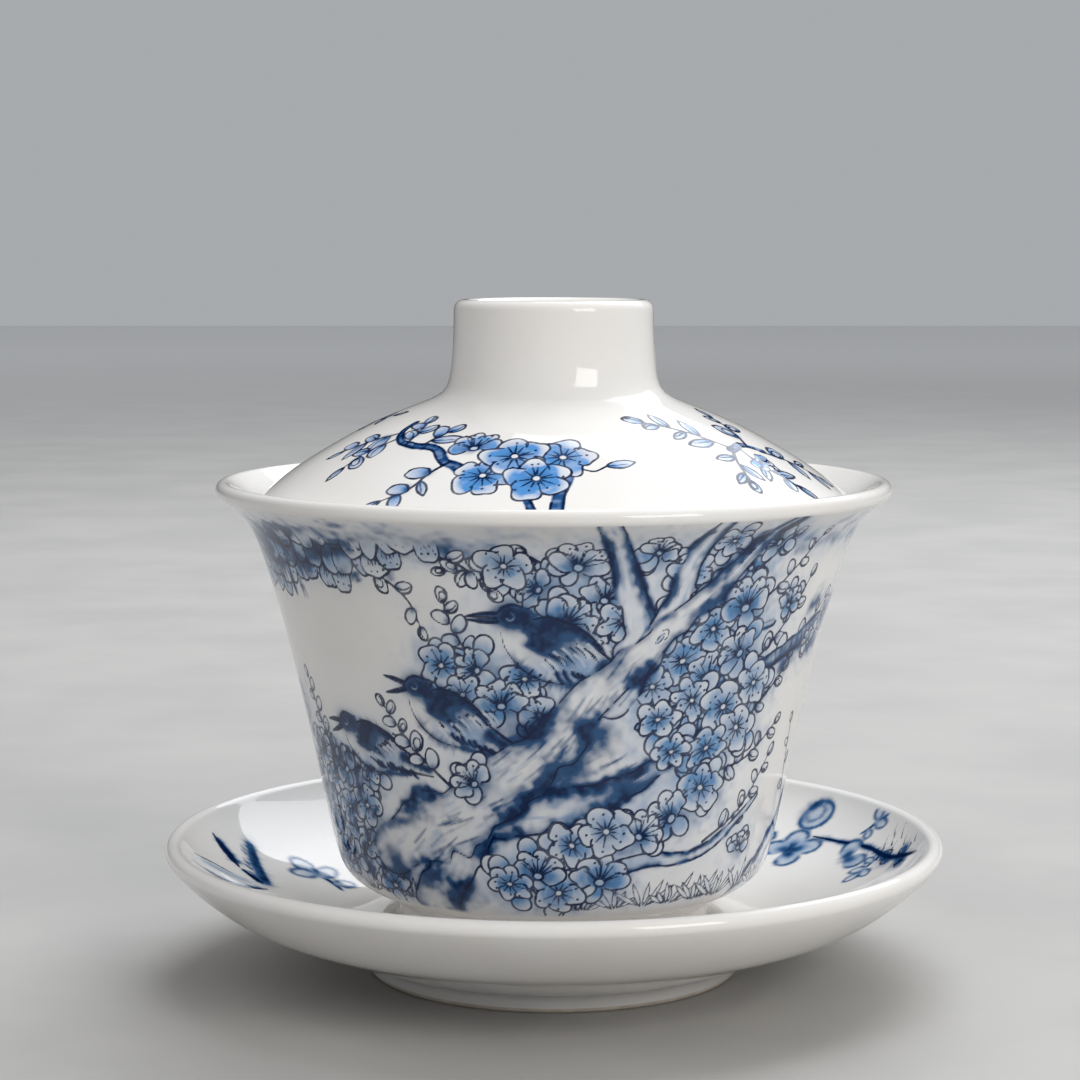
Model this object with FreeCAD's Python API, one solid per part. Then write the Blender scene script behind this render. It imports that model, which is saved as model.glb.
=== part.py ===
import FreeCAD, Part
import math
import os

# Lidded porcelain tea bowl (gaiwan) on its saucer, in millimetres.
# Each piece is one fired body, turned about Z. The origin is the centre of the saucer's foot on the table.

# ---- saucer -------------------------------------------------------------------------------------
SAUCER_RADIUS = 60.0
SAUCER_HEIGHT = 21.2
SAUCER_LIP = 1.4             # radius of the rounded lip
SAUCER_LIP_HEADING = (0.578, 0.816)
SAUCER_FOOT_INNER = 25.0
SAUCER_FOOT_OUTER = 28.6
SAUCER_RECESS = 2.8          # height of the ceiling inside the foot ring
WELL_FLOOR = 6.2             # the bowl stands on this
WELL_RADIUS = 25.4
WELL_SHOULDER = (27.4, 7.3)  # outer edge of the small step around the well

# ---- bowl ---------------------------------------------------------------------------------------
BOWL_MOUTH = 51.65           # outermost radius of the lip
BOWL_TOP = 76.35
BOWL_LIP = 1.3
BOWL_LIP_HEADING = (0.79, 0.61)
BOWL_FOOT_INNER = 19.6
BOWL_FOOT_OUTER = 23.4
BOWL_RECESS = 10.9
BOWL_FLOOR = 15.2            # inside bottom

# ---- lid ----------------------------------------------------------------------------------------
LID_RADIUS = 45.1            # sits inside the bowl's flared mouth
LID_BOTTOM = 71.85
LID_EDGE = 1.35              # radius of the rounded lower edge
LID_EDGE_HEADING = (0.785, -0.62)
LID_CEILING = 88.2           # highest point inside the dome
KNOB_TOP = 103.7
KNOB_RADIUS = 15.25
KNOB_WALL = 3.1              # the top of the ring is fully rounded
KNOB_FLOOR = 91.2            # bottom of the hollow in the knob

# ---- all foot rings -----------------------------------------------------------------------------
FOOT_EDGE = 0.8              # rounding of the edges
FOOT_DRAFT = 0.6             # how far the inner wall leans in towards the top


def point(radius, height):
    return FreeCAD.Vector(radius, 0, height)


class Rim:
    """A rounded rim that the wall reaches in a given heading, tangent to it on both sides."""

    LEAD = 3.0               # length of the straight pull that keeps a wall curve tangent to the rim

    def __init__(self, centre, radius, heading):
        size = math.hypot(*heading)
        along = (heading[0] / size, heading[1] / size)
        across = (along[1], -along[0])
        self.tip = (centre[0] + radius * along[0], centre[1] + radius * along[1])
        self.arrive = (centre[0] + radius * across[0], centre[1] + radius * across[1])
        self.leave = (centre[0] - radius * across[0], centre[1] - radius * across[1])
        self.lead_in = (self.arrive[0] - self.LEAD * along[0], self.arrive[1] - self.LEAD * along[1])
        self.lead_out = (self.leave[0] - self.LEAD * along[0], self.leave[1] - self.LEAD * along[1])


class Outline:
    """A closed half section in the XZ plane, drawn edge by edge from a start point."""

    def __init__(self, radius, height):
        self.start = point(radius, height)
        self.pen = self.start
        self.edges = []

    def line(self, radius, height):
        end = point(radius, height)
        self.edges.append(Part.LineSegment(self.pen, end).toShape())
        self.pen = end

    def arc(self, middle, end):
        curve = Part.Arc(self.pen, point(*middle), point(*end))
        self.edges.append(curve.toShape())
        self.pen = point(*end)

    def curve(self, poles):
        """A smooth cubic curve pulled along by the poles, ending at the last one."""
        vectors = [self.pen] + [point(*pole) for pole in poles]
        spline = Part.BSplineCurve()
        spline.buildFromPoles(vectors, False, 3)
        self.edges.append(spline.toShape())
        self.pen = vectors[-1]

    def revolve(self):
        self.line(self.start.x, self.start.z)
        face = Part.Face(Part.Wire(self.edges))
        return face.revolve(FreeCAD.Vector(0, 0, 0), FreeCAD.Vector(0, 0, 1), 360)


def foot_ring(outline, inner, outer, base, ceiling, top):
    """A turned foot: ceiling, inner wall down, flat standing face, outer wall up to the point top."""
    bite = FOOT_EDGE * (1 - math.sqrt(0.5))
    inner_top = inner - FOOT_DRAFT
    outline.line(inner_top - FOOT_EDGE, ceiling)
    outline.arc((inner_top - bite, ceiling - bite), (inner_top, ceiling - FOOT_EDGE))
    outline.line(inner, base + FOOT_EDGE)
    outline.arc((inner + bite, base + bite), (inner + FOOT_EDGE, base))
    outline.line(outer - FOOT_EDGE, base)
    outline.arc((outer - bite, base + bite), (outer, base + FOOT_EDGE))
    outline.line(*top)


def saucer():
    lip_centre = (SAUCER_RADIUS - SAUCER_LIP, SAUCER_HEIGHT - SAUCER_LIP)
    lip = Rim(lip_centre, SAUCER_LIP, SAUCER_LIP_HEADING)
    side = Outline(0, SAUCER_RECESS)
    foot_ring(side, SAUCER_FOOT_INNER, SAUCER_FOOT_OUTER, 0, SAUCER_RECESS, (29.2, 2.6))
    side.curve([(32.6, 3.9), (40.6, 7.0), (46.6, 9.2), (51.4, 11.1), lip.lead_in, lip.arrive])
    side.arc(lip.tip, lip.leave)
    side.curve([lip.lead_out, (50.8, 14.2), (45.2, 11.8), (37.6, 9.4), (33.0, 7.6), WELL_SHOULDER])
    side.arc((26.2, 6.9), (WELL_RADIUS, WELL_FLOOR))
    side.line(0, WELL_FLOOR)
    return side.revolve()


def bowl():
    lip_centre = (BOWL_MOUTH - BOWL_LIP, BOWL_TOP - BOWL_LIP)
    lip = Rim(lip_centre, BOWL_LIP, BOWL_LIP_HEADING)
    side = Outline(0, BOWL_RECESS)
    foot_ring(side, BOWL_FOOT_INNER, BOWL_FOOT_OUTER, WELL_FLOOR, BOWL_RECESS, (24.1, 10.8))
    side.curve([(23.9, 12.0), (28.0, 13.3), (32.3, 15.8), (33.9, 20.0), (36.0, 30.6), (37.9, 39.6),
                (40.5, 51.0), (42.8, 59.6), (46.4, 71.0), lip.lead_in, lip.arrive])
    side.arc(lip.tip, lip.leave)
    side.curve([lip.lead_out, (44.4, 72.4), (41.2, 62.8), (38.4, 53.0), (36.0, 43.2), (34.0, 33.6),
                (31.9, 23.8), (29.9, 17.4), (25.0, BOWL_FLOOR), (18.0, BOWL_FLOOR)])
    side.line(0, BOWL_FLOOR)
    return side.revolve()


def lid():
    edge_centre = (LID_RADIUS - LID_EDGE, LID_BOTTOM + LID_EDGE)
    edge = Rim(edge_centre, LID_EDGE, LID_EDGE_HEADING)
    knob_edge = KNOB_TOP - KNOB_WALL / 2
    side = Outline(0, LID_CEILING)
    side.curve([(8.0, LID_CEILING), (15.8, 86.6), (23.9, 83.8), (30.9, 80.2), (36.9, 76.7),
                edge.lead_in, edge.arrive])
    side.arc(edge.tip, edge.leave)
    side.curve([edge.lead_out, (39.3, 78.4), (33.8, 81.7), (28.2, 84.8), (22.1, 87.3), (18.0, 88.8),
                (16.2, 90.1), (15.7, 93.1), (15.4, 96.9), (KNOB_RADIUS, 100.1), (KNOB_RADIUS, knob_edge)])
    side.arc((KNOB_RADIUS - KNOB_WALL / 2, KNOB_TOP), (KNOB_RADIUS - KNOB_WALL, knob_edge))
    side.line(12.4, 93.0)
    side.arc((11.9, 91.7), (10.6, KNOB_FLOOR))
    side.line(0, KNOB_FLOOR)
    return side.revolve()


os.makedirs("parts", exist_ok=True)
for node, piece in (("saucer", saucer()), ("bowl", bowl()), ("lid", lid())):
    print(node, "valid", piece.isValid(), "volume %.1f cm3" % (piece.Volume / 1000))
    piece.exportStep("parts/%s.step" % node)
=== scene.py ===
import math
import bpy
import numpy as np
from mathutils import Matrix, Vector


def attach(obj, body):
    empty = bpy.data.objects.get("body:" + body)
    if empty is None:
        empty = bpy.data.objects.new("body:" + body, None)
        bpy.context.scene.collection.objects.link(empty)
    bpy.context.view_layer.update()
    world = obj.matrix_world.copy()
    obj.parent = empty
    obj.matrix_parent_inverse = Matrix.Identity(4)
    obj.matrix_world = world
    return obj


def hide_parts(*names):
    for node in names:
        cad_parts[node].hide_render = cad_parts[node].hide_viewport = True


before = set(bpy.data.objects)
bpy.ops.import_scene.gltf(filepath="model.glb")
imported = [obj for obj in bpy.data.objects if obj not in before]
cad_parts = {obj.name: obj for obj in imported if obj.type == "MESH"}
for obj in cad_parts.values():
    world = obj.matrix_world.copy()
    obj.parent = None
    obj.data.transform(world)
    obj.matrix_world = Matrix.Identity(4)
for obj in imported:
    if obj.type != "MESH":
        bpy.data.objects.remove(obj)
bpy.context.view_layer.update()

# A lidded porcelain tea bowl on its saucer. Each piece is turned about Z from the same section as its CAD
# node, on a grid of vertices fine enough to carry the cobalt painting that lies under the glaze.
# Sections and painting are worked out in millimetres and brought to metres by MM.

MM = 0.001
COLUMNS = 1152           # vertices round a painted row, halved again and again towards the axis
FINE = 0.235             # distance between painted rows
INK_EDGE = 0.28          # width over which a drawn edge goes from bare to full
RANDOM = np.random.default_rng(7)
uniform = RANDOM.uniform

# ---- sections ----

PLAIN_GAP = 1.3          # distance between rows on plain glaze
PLAIN_COLUMNS = 288      # vertices round a plain row
AXIS_COLUMNS = 18        # and round the last one before the axis

# Sizes in millimetres, and headings of the rims, as in the CAD.
SAUCER_RADIUS, SAUCER_HEIGHT = 60.0, 21.2
SAUCER_LIP, SAUCER_LIP_HEADING = 1.4, (0.578, 0.816)
SAUCER_FOOT_INNER, SAUCER_FOOT_OUTER, SAUCER_RECESS = 25.0, 28.6, 2.8
WELL_RADIUS, WELL_FLOOR, WELL_SHOULDER = 25.4, 6.2, (27.4, 7.3)
BOWL_MOUTH, BOWL_TOP, BOWL_FLOOR = 51.65, 76.35, 15.2
BOWL_LIP, BOWL_LIP_HEADING = 1.3, (0.79, 0.61)
BOWL_FOOT_INNER, BOWL_FOOT_OUTER, BOWL_RECESS = 19.6, 23.4, 10.9
LID_RADIUS, LID_BOTTOM, LID_CEILING = 45.1, 71.85, 88.2
LID_EDGE, LID_EDGE_HEADING = 1.35, (0.785, -0.62)
KNOB_RADIUS, KNOB_WALL, KNOB_TOP, KNOB_FLOOR = 15.25, 3.1, 103.7, 91.2
FOOT_EDGE, FOOT_DRAFT = 0.8, 0.6
RIM_LEAD = 3.0           # the straight pull that keeps a wall tangent to its rim

# Where each piece is painted: radii in the saucer and on the lid, heights on the bowl.
SAUCER_BAND = 29.5, 57.2
BOWL_BAND = 15.6, 74.2
LID_BAND = 19.0, 44.2


class Section:
    """A half section drawn run by run, in millimetres, as rows of vertices."""

    def __init__(self, radius, height):
        self.rows = [(radius, height)]
        self.painted = [False]
        self.bare = [False]

    def add(self, points, painted=None, bare=False):
        """Rows along a finely sampled run, close together where painted(radius, height) is true."""
        points = np.asarray(points)
        steps = np.hypot(*np.diff(points, axis=0).T)
        middles = (points[1:] + points[:-1]) / 2
        drawn = painted(*middles.T) if painted else np.zeros(len(middles), bool)
        count = np.concatenate([[0], np.cumsum(steps / np.where(drawn, FINE, PLAIN_GAP))])
        wanted = np.linspace(0, count[-1], max(2, math.ceil(count[-1]) + 1))[1:]
        for at in wanted:
            row = (np.interp(at, count, points[:, 0]), np.interp(at, count, points[:, 1]))
            self.rows.append(row)
            self.painted.append(bool(painted and painted(*np.array(row))))
            self.bare.append(bare)

    def line(self, radius, height, bare=False):
        ends = np.array([self.rows[-1], (radius, height)])
        self.add(ends[0] + np.linspace(0, 1, 60)[:, None] * (ends[1] - ends[0]), bare=bare)

    def arc(self, middle, end, rows=8, bare=False):
        """Rows along the circle through the last row, middle and end."""
        a, b, c = (complex(*p) for p in (self.rows[-1], middle, end))
        w = (c - a) / (b - a)
        centre = (b - a) * (w - abs(w) ** 2) / (2j * w.imag) + a
        first, last = (math.atan2((p - centre).imag, (p - centre).real) for p in (a, c))
        spin = 1 if w.imag > 0 else -1
        sweep = spin * ((spin * (last - first)) % math.tau)
        for n in range(1, rows + 1):
            p = centre + abs(a - centre) * np.exp(1j * (first + sweep * n / rows))
            self.rows.append((p.real, p.imag))
            self.painted.append(False)
            self.bare.append(bare)

    def curve(self, poles, painted=None):
        """Rows along the clamped uniform cubic B-spline of the poles."""
        poles = np.array([self.rows[-1], *poles], float)
        knots = np.concatenate([[0] * 3, np.linspace(0, 1, len(poles) - 2), [1] * 3])
        t = np.linspace(0, 1 - 1e-9, 4000)[:, None]
        weight = ((knots[:-1] <= t) & (t < knots[1:])).astype(float)
        for degree in (1, 2, 3):
            span = knots[degree:] - knots[:-degree]
            span = np.where(span > 0, span, np.inf)
            up = (t - knots[:-degree - 1]) / span[:-1] * weight[:, :-1]
            down = (knots[degree + 1:] - t) / span[1:] * weight[:, 1:]
            weight = up + down
        self.add(weight @ poles, painted)

    def rim(self, centre, radius, heading, before, after, drawn_before=None, drawn_after=None):
        """A wall curve, a rounded rim in the given heading, and the next wall curve, all tangent."""
        along = np.array(heading) / math.hypot(*heading)
        across = np.array((along[1], -along[0]))
        arrive, leave = centre + radius * across, centre - radius * across
        self.curve([*before, arrive - RIM_LEAD * along, arrive], drawn_before)
        self.arc(centre + radius * along, leave, rows=16)
        self.curve([leave - RIM_LEAD * along, *after], drawn_after)

    def foot(self, inner, outer, base, ceiling, top):
        """A turned foot: ceiling, inner wall, bare standing face, outer wall up to top."""
        bite = FOOT_EDGE * (1 - math.sqrt(0.5))
        inner_top = inner - FOOT_DRAFT
        self.line(inner_top - FOOT_EDGE, ceiling)
        self.arc((inner_top - bite, ceiling - bite), (inner_top, ceiling - FOOT_EDGE))
        self.line(inner, base + FOOT_EDGE)
        self.arc((inner + bite, base + bite), (inner + FOOT_EDGE, base), bare=True)
        self.line(outer - FOOT_EDGE, base, bare=True)
        self.arc((outer - bite, base + bite), (outer, base + FOOT_EDGE), bare=True)
        self.line(*top)


def within(band, value):
    return (value > band[0]) & (value < band[1])


def saucer_section():
    side = Section(0, SAUCER_RECESS)
    side.foot(SAUCER_FOOT_INNER, SAUCER_FOOT_OUTER, 0, SAUCER_RECESS, (29.2, 2.6))
    under = [(32.6, 3.9), (40.6, 7.0), (46.6, 9.2), (51.4, 11.1)]
    over = [(50.8, 14.2), (45.2, 11.8), (37.6, 9.4), (33.0, 7.6), WELL_SHOULDER]
    side.rim((SAUCER_RADIUS - SAUCER_LIP, SAUCER_HEIGHT - SAUCER_LIP), SAUCER_LIP, SAUCER_LIP_HEADING,
             under, over, drawn_after=lambda r, z: within(SAUCER_BAND, r))
    side.arc((26.2, 6.9), (WELL_RADIUS, WELL_FLOOR))
    side.line(0, WELL_FLOOR)
    return side


def bowl_section():
    side = Section(0, BOWL_RECESS)
    side.foot(BOWL_FOOT_INNER, BOWL_FOOT_OUTER, WELL_FLOOR, BOWL_RECESS, (24.1, 10.8))
    outside = [(23.9, 12.0), (28.0, 13.3), (32.3, 15.8), (33.9, 20.0), (36.0, 30.6), (37.9, 39.6),
               (40.5, 51.0), (42.8, 59.6), (46.4, 71.0)]
    inside = [(44.4, 72.4), (41.2, 62.8), (38.4, 53.0), (36.0, 43.2), (34.0, 33.6), (31.9, 23.8),
              (29.9, 17.4), (25.0, BOWL_FLOOR), (18.0, BOWL_FLOOR)]
    side.rim((BOWL_MOUTH - BOWL_LIP, BOWL_TOP - BOWL_LIP), BOWL_LIP, BOWL_LIP_HEADING,
             outside, inside, drawn_before=lambda r, z: within(BOWL_BAND, z))
    side.line(0, BOWL_FLOOR)
    return side


def lid_section():
    side = Section(0, LID_CEILING)
    knob_edge = KNOB_TOP - KNOB_WALL / 2
    under = [(8.0, LID_CEILING), (15.8, 86.6), (23.9, 83.8), (30.9, 80.2), (36.9, 76.7)]
    over = [(39.3, 78.4), (33.8, 81.7), (28.2, 84.8), (22.1, 87.3), (18.0, 88.8), (16.2, 90.1),
            (15.7, 93.1), (15.4, 96.9), (KNOB_RADIUS, 100.1), (KNOB_RADIUS, knob_edge)]
    side.rim((LID_RADIUS - LID_EDGE, LID_BOTTOM + LID_EDGE), LID_EDGE, LID_EDGE_HEADING,
             under, over, drawn_after=lambda r, z: within(LID_BAND, r))
    side.arc((KNOB_RADIUS - KNOB_WALL / 2, KNOB_TOP), (KNOB_RADIUS - KNOB_WALL, knob_edge), rows=16)
    side.line(12.4, 93.0)
    side.arc((11.9, 91.7), (10.6, KNOB_FLOOR))
    side.line(0, KNOB_FLOOR)
    return side


class Turned:
    """The mesh of a section turned about Z, and the canvas of its painted rows."""

    def __init__(self, section, by_height=False):
        self.rows = np.array(section.rows)
        self.painted = np.array(section.painted)
        self.bare = np.array(section.bare)
        self.columns = self.column_counts()
        drawn = np.flatnonzero(self.painted)
        assert np.all(np.diff(drawn) == 1), "the painted rows of a piece are one band"
        self.first = drawn[0]
        band = self.rows[drawn]
        reach = np.concatenate([[0], np.cumsum(np.hypot(*np.diff(band, axis=0).T))])
        self.canvas = Canvas(band[:, 0], band[:, int(by_height)], reach)

    def column_counts(self):
        """Vertices in each row: full where painted, fewer elsewhere, never more than halved by one row."""
        counts = np.full(len(self.rows), COLUMNS)
        for n, (radius, _) in enumerate(self.rows):
            if not self.painted[n]:
                counts[n] = PLAIN_COLUMNS
                while counts[n] > AXIS_COLUMNS and counts[n] * PLAIN_GAP * 0.75 > math.tau * radius:
                    counts[n] //= 2
        counts[[0, -1]] = 1
        for sweep in (range(2, len(counts) - 1), range(len(counts) - 3, 0, -1)):
            back = -1 if sweep.step > 0 else 1
            for n in sweep:
                counts[n] = max(counts[n], counts[n + back] // 2)
        return counts

    def vertices(self):
        parts = []
        for (radius, height), count in zip(self.rows, self.columns):
            angle = (np.arange(count) - count // 2) * math.tau / count
            level = np.full(count, height)
            parts.append(np.stack([radius * np.sin(angle), -radius * np.cos(angle), level], 1))
        return np.concatenate(parts) * MM

    def faces(self):
        """Groups of faces, each with the row that it starts from."""
        starts = np.concatenate([[0], np.cumsum(self.columns)])
        for n, (low, high) in enumerate(zip(self.columns, self.columns[1:])):
            a, b = starts[n], starts[n + 1]
            count = min(low, high) if min(low, high) > 1 else max(low, high)
            i = np.arange(count)
            j = (i + 1) % count
            if low == 1:
                yield n, np.stack([0 * i + a, b + j, b + i], 1)
            elif high == 1:
                yield n, np.stack([a + i, a + j, 0 * i + b], 1)
            elif low == high:
                yield n, np.stack([a + i, a + j, b + j, b + i], 1)
            elif low > high:
                yield n, np.stack([a + 2 * i, a + 2 * i + 1, b + i], 1)
                yield n, np.stack([a + 2 * i + 1, a + (2 * i + 2) % low, b + j, b + i], 1)
            else:
                yield n, np.stack([a + i, b + 2 * i + 1, b + 2 * i], 1)
                yield n, np.stack([a + i, a + j, b + (2 * i + 2) % high, b + 2 * i + 1], 1)

    def layer(self, values):
        """Values of the painted rows as one value for each vertex, nought elsewhere."""
        starts = np.concatenate([[0], np.cumsum(self.columns)])
        out = np.zeros(starts[-1])
        first = starts[self.first]
        out[first:first + values.size] = values.ravel()
        return out

    def build(self, name):
        mesh = bpy.data.meshes.new(name)
        corners, totals, materials = [], [], []
        for row, group in self.faces():
            corners.append(group.ravel())
            totals.append(np.full(len(group), group.shape[1]))
            materials.append(np.full(len(group), int(self.bare[row] and self.bare[row + 1])))
        points, corners, totals = self.vertices(), np.concatenate(corners), np.concatenate(totals)
        mesh.vertices.add(len(points))
        mesh.vertices.foreach_set("co", points.ravel())
        mesh.loops.add(len(corners))
        mesh.loops.foreach_set("vertex_index", corners)
        mesh.polygons.add(len(totals))
        mesh.polygons.foreach_set("loop_start", np.cumsum(totals) - totals)
        mesh.polygons.foreach_set("material_index", np.concatenate(materials))
        mesh.update(calc_edges=True)
        mesh.shade_smooth()
        for layer in ("wash", "deep", "line"):
            attribute = mesh.attributes.new(layer, "FLOAT", "POINT")
            attribute.data.foreach_set("value", self.layer(getattr(self.canvas, layer)))
        piece = bpy.data.objects.new(name, mesh)
        bpy.context.scene.collection.objects.link(piece)
        return piece


# ---- painting tools ----

GRAIN = RANDOM.random((128, 128))


def ease(x):
    x = np.clip(x, 0, 1)
    return x * x * (3 - 2 * x)


def heading(degrees):
    """The x and y of a step of one in a direction."""
    return math.cos(math.radians(degrees)), math.sin(math.radians(degrees))


def grain(x, y):
    """Smooth random values from 0 to 1 that change over one unit of x or y."""
    x, y = np.broadcast_arrays(x, y)
    i, j = np.floor(x).astype(int), np.floor(y).astype(int)
    fx, fy = ease(x - i), ease(y - j)
    low = GRAIN[i % 128, j % 128] * (1 - fx) + GRAIN[(i + 1) % 128, j % 128] * fx
    high = GRAIN[i % 128, (j + 1) % 128] * (1 - fx) + GRAIN[(i + 1) % 128, (j + 1) % 128] * fx
    return low * (1 - fy) + high * fy


def through(points):
    """Points along a smooth curve through the given ones, six for each stretch."""
    p = np.array([points[0], *points, points[-1]], float)
    t = np.linspace(0, 1, 6, endpoint=False)[:, None]
    legs = [0.5 * (2 * b + (c - a) * t + (2 * a - 5 * b + 4 * c - d) * t ** 2
                   + (3 * b - a - 3 * c + d) * t ** 3) for a, b, c, d in zip(p, p[1:], p[2:], p[3:])]
    return np.vstack(legs + [p[-1:]])


def oval(x, y, a, b, turn=0.0):
    """Roughly the signed distance to an oval about the origin."""
    c, s = heading(turn)
    q = np.hypot((c * x + s * y) / a, (c * y - s * x) / b)
    return (q - 1) * np.hypot(x, y) / np.maximum(q, 1e-6)


def leaf(x, y, length, width):
    """Signed distance to a pointed leaf that runs from the origin along x."""
    bend = (length ** 2 / 4 + width ** 2 / 4) / width
    offset = bend - width / 2
    return np.maximum(np.hypot(x - length / 2, y - offset), np.hypot(x - length / 2, y + offset)) - bend


class Canvas:
    """The cobalt on each painted vertex.

    u runs round the piece in millimetres at the widest painted radius, from 0 at the front to the right,
    and v along the section. wash is pale diluted cobalt, deep is dark with soft edges, line is drawn ink.
    """

    def __init__(self, radii, levels, reach):
        self.levels, self.v = levels, reach
        self.reference = radii.max()
        self.k = radii / self.reference
        self.step = math.tau * self.reference / COLUMNS
        self.wash, self.deep, self.line = np.zeros((3, len(radii), COLUMNS))

    def bleed(self, share):
        """Lets some cobalt run into the glaze about the painting, as a pale haze."""
        haze = blurred(self.wash + self.deep + self.line)
        self.wash = 1 - (1 - self.wash) * (1 - np.clip(share * haze, 0, 1))

    def spot(self, degrees, level):
        """u and v at an angle round the piece, and a height on the bowl or a radius on the others."""
        order = np.argsort(self.levels)
        v = np.interp(level, self.levels[order], self.v[order])
        return math.radians(degrees) * self.reference, float(v)

    def window(self, low_u, high_u, low_v, high_v, reach):
        """Indices of the vertices in a span of u and v, and their u and v as a row and a column."""
        rows = np.arange(*np.searchsorted(self.v, (low_v - reach, high_v + reach)))
        if not len(rows):
            return None
        spare = reach / self.k[rows].min()
        columns = np.arange(math.floor((low_u - spare) / self.step),
                            math.ceil((high_u + spare) / self.step))
        where = np.ix_(rows, (columns + COLUMNS // 2) % COLUMNS)
        return where, columns[None, :] * self.step, self.v[rows][:, None], self.k[rows][:, None]

    def field(self, path, reach):
        """For vertices near a path: distance to it, share of it gone by, signed side, length gone by."""
        path = np.asarray(path, float)
        (low_u, low_v), (high_u, high_v) = path.min(axis=0), path.max(axis=0)
        window = self.window(low_u, high_u, low_v, high_v, reach)
        if window is None:
            return None
        where, u, v, k = window
        lengths = np.hypot(*np.diff(path, axis=0).T)
        total, gone = max(lengths.sum(), 1e-6), 0.0
        best = np.full(np.broadcast_shapes(u.shape, v.shape), 1e9)
        side, along = np.zeros_like(best), np.zeros_like(best)
        for a, b, length in zip(path, path[1:], lengths):
            x, y, lx, ly = (u - a[0]) * k, v - a[1], (b[0] - a[0]) * k, b[1] - a[1]
            size = np.maximum(lx * lx + ly * ly, 1e-9)
            t = np.clip((x * lx + y * ly) / size, 0, 1)
            distance = np.hypot(x - t * lx, y - t * ly)
            closer = distance < best
            best = np.where(closer, distance, best)
            side = np.where(closer, (y * lx - x * ly) / np.sqrt(size), side)
            along = np.where(closer, gone + t * length, along)
            gone += length
        return where, best, along / total, side, along


def blurred(values):
    """Values averaged with their neighbours over about ten vertices each way."""
    rows = np.arange(len(values))
    for step in (1, 2, 4, 8):
        above, below = np.minimum(rows + step, rows[-1]), np.maximum(rows - step, 0)
        values = (values + values[above] + values[below]) / 3
        values = (values + np.roll(values, step, 1) + np.roll(values, -step, 1)) / 3
    return values


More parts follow.
